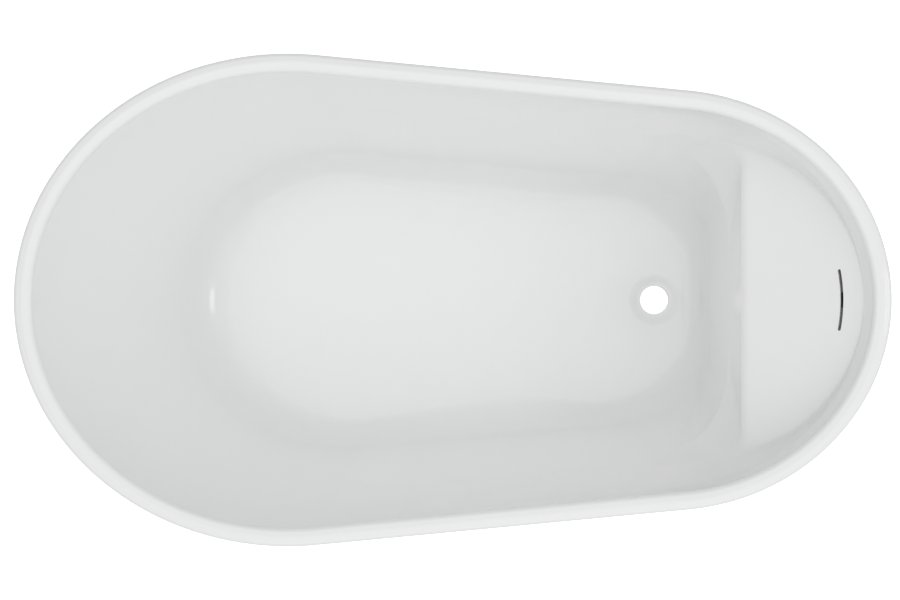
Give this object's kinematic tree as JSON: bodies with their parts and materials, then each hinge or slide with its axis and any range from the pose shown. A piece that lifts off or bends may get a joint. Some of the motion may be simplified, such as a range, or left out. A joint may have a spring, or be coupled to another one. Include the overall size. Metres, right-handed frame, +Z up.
{
  "type": "freestanding bathtub",
  "caption": "Egg-shaped freestanding bathtub with a raked head end, a foot-end ledge, a slotted overflow and an open drain hole, on a steel frame with levelling feet.",
  "frame": {"origin": "centre of the bounding box in plan, on the floor under the pads", "axes": "+X towards the narrow foot end with the drain, +Y to the left when facing the foot end, +Z up"},
  "size_m": [1.4, 0.7856, 0.59],
  "materials": {
    "acrylic": "high gloss white sanitary acrylic",
    "adhesive": "cured off-white resin",
    "board": "sealed plywood",
    "block_wood": "sawn softwood",
    "steel_tube": "satin black powder coat",
    "zinc_steel": "zinc plated",
    "bare_steel": "welded, painted over",
    "black_plastic": "moulded black plastic",
    "pipe_plastic": "satin white waste pipe plastic",
    "gasket_rubber": "soft foam rubber",
    "pad_rubber": "hard black rubber"
  },
  "bodies": {
    "tub": {"basin": "acrylic", "skirt": "acrylic", "rim_bond": "adhesive", "floor_board": "board", "rail_left": "steel_tube", "rail_right": "steel_tube", "cross_head": "steel_tube", "cross_mid": "steel_tube", "cross_foot": "steel_tube", "rail_caps": "black_plastic", "board_screws": "zinc_steel", "weld_nuts": "bare_steel", "skirt_straps": "zinc_steel", "skirt_blocks": "block_wood", "strap_screws": "zinc_steel", "overflow_gasket": "gasket_rubber", "overflow_box": "pipe_plastic", "overflow_screws": "zinc_steel", "overflow_nut": "black_plastic", "overflow_pipe": "pipe_plastic", "pipe_clip": "zinc_steel", "clip_screw": "zinc_steel", "tail_nut": "black_plastic", "foot_head_left_nut": "zinc_steel", "foot_head_right_nut": "zinc_steel", "foot_end_left_nut": "zinc_steel", "foot_end_right_nut": "zinc_steel", "foot_mid_nut": "zinc_steel"},
    "foot_head_left": {"foot_head_left_pad": "pad_rubber"},
    "foot_head_left_screw": {"foot_head_left_stud": "zinc_steel"},
    "foot_head_right": {"foot_head_right_pad": "pad_rubber"},
    "foot_head_right_screw": {"foot_head_right_stud": "zinc_steel"},
    "foot_end_left": {"foot_end_left_pad": "pad_rubber"},
    "foot_end_left_screw": {"foot_end_left_stud": "zinc_steel"},
    "foot_end_right": {"foot_end_right_pad": "pad_rubber"},
    "foot_end_right_screw": {"foot_end_right_stud": "zinc_steel"},
    "foot_mid": {"foot_mid_pad": "pad_rubber"},
    "foot_mid_screw": {"foot_mid_stud": "zinc_steel"}
  },
  "joints": [
    {"name": "foot_head_left_lift", "type": "slide", "parent": "tub", "child": "foot_head_left", "axis": [0, 0, -1], "range_m": [-0.006, 0.02]},
    {"name": "foot_head_left_spin", "type": "hinge", "parent": "foot_head_left", "child": "foot_head_left_screw", "pos_m": [-0.45, 0.14402, 0.05], "axis": [0, 0, -1], "range_deg": [-1260, 4140]},
    {"name": "foot_head_right_lift", "type": "slide", "parent": "tub", "child": "foot_head_right", "axis": [0, 0, -1], "range_m": [-0.006, 0.02]},
    {"name": "foot_head_right_spin", "type": "hinge", "parent": "foot_head_right", "child": "foot_head_right_screw", "pos_m": [-0.45, -0.14402, 0.05], "axis": [0, 0, -1], "range_deg": [-1260, 4140]},
    {"name": "foot_end_left_lift", "type": "slide", "parent": "tub", "child": "foot_end_left", "axis": [0, 0, -1], "range_m": [-0.006, 0.02]},
    {"name": "foot_end_left_spin", "type": "hinge", "parent": "foot_end_left", "child": "foot_end_left_screw", "pos_m": [0.47, 0.14402, 0.05], "axis": [0, 0, -1], "range_deg": [-1260, 4140]},
    {"name": "foot_end_right_lift", "type": "slide", "parent": "tub", "child": "foot_end_right", "axis": [0, 0, -1], "range_m": [-0.006, 0.02]},
    {"name": "foot_end_right_spin", "type": "hinge", "parent": "foot_end_right", "child": "foot_end_right_screw", "pos_m": [0.47, -0.14402, 0.05], "axis": [0, 0, -1], "range_deg": [-1260, 4140]},
    {"name": "foot_mid_lift", "type": "slide", "parent": "tub", "child": "foot_mid", "axis": [0, 0, -1], "range_m": [-0.006, 0.02]},
    {"name": "foot_mid_spin", "type": "hinge", "parent": "foot_mid", "child": "foot_mid_screw", "pos_m": [0.01, 0, 0.05], "axis": [0, 0, -1], "range_deg": [-1260, 4140]}
  ],
  "couplings": [
    {"joint": "foot_head_left_spin", "follows": "foot_head_left_lift", "rad_per_m": 3590.4},
    {"joint": "foot_head_right_spin", "follows": "foot_head_right_lift", "rad_per_m": 3590.4},
    {"joint": "foot_end_left_spin", "follows": "foot_end_left_lift", "rad_per_m": 3590.4},
    {"joint": "foot_end_right_spin", "follows": "foot_end_right_lift", "rad_per_m": 3590.4},
    {"joint": "foot_mid_spin", "follows": "foot_mid_lift", "rad_per_m": 3590.4}
  ]
}
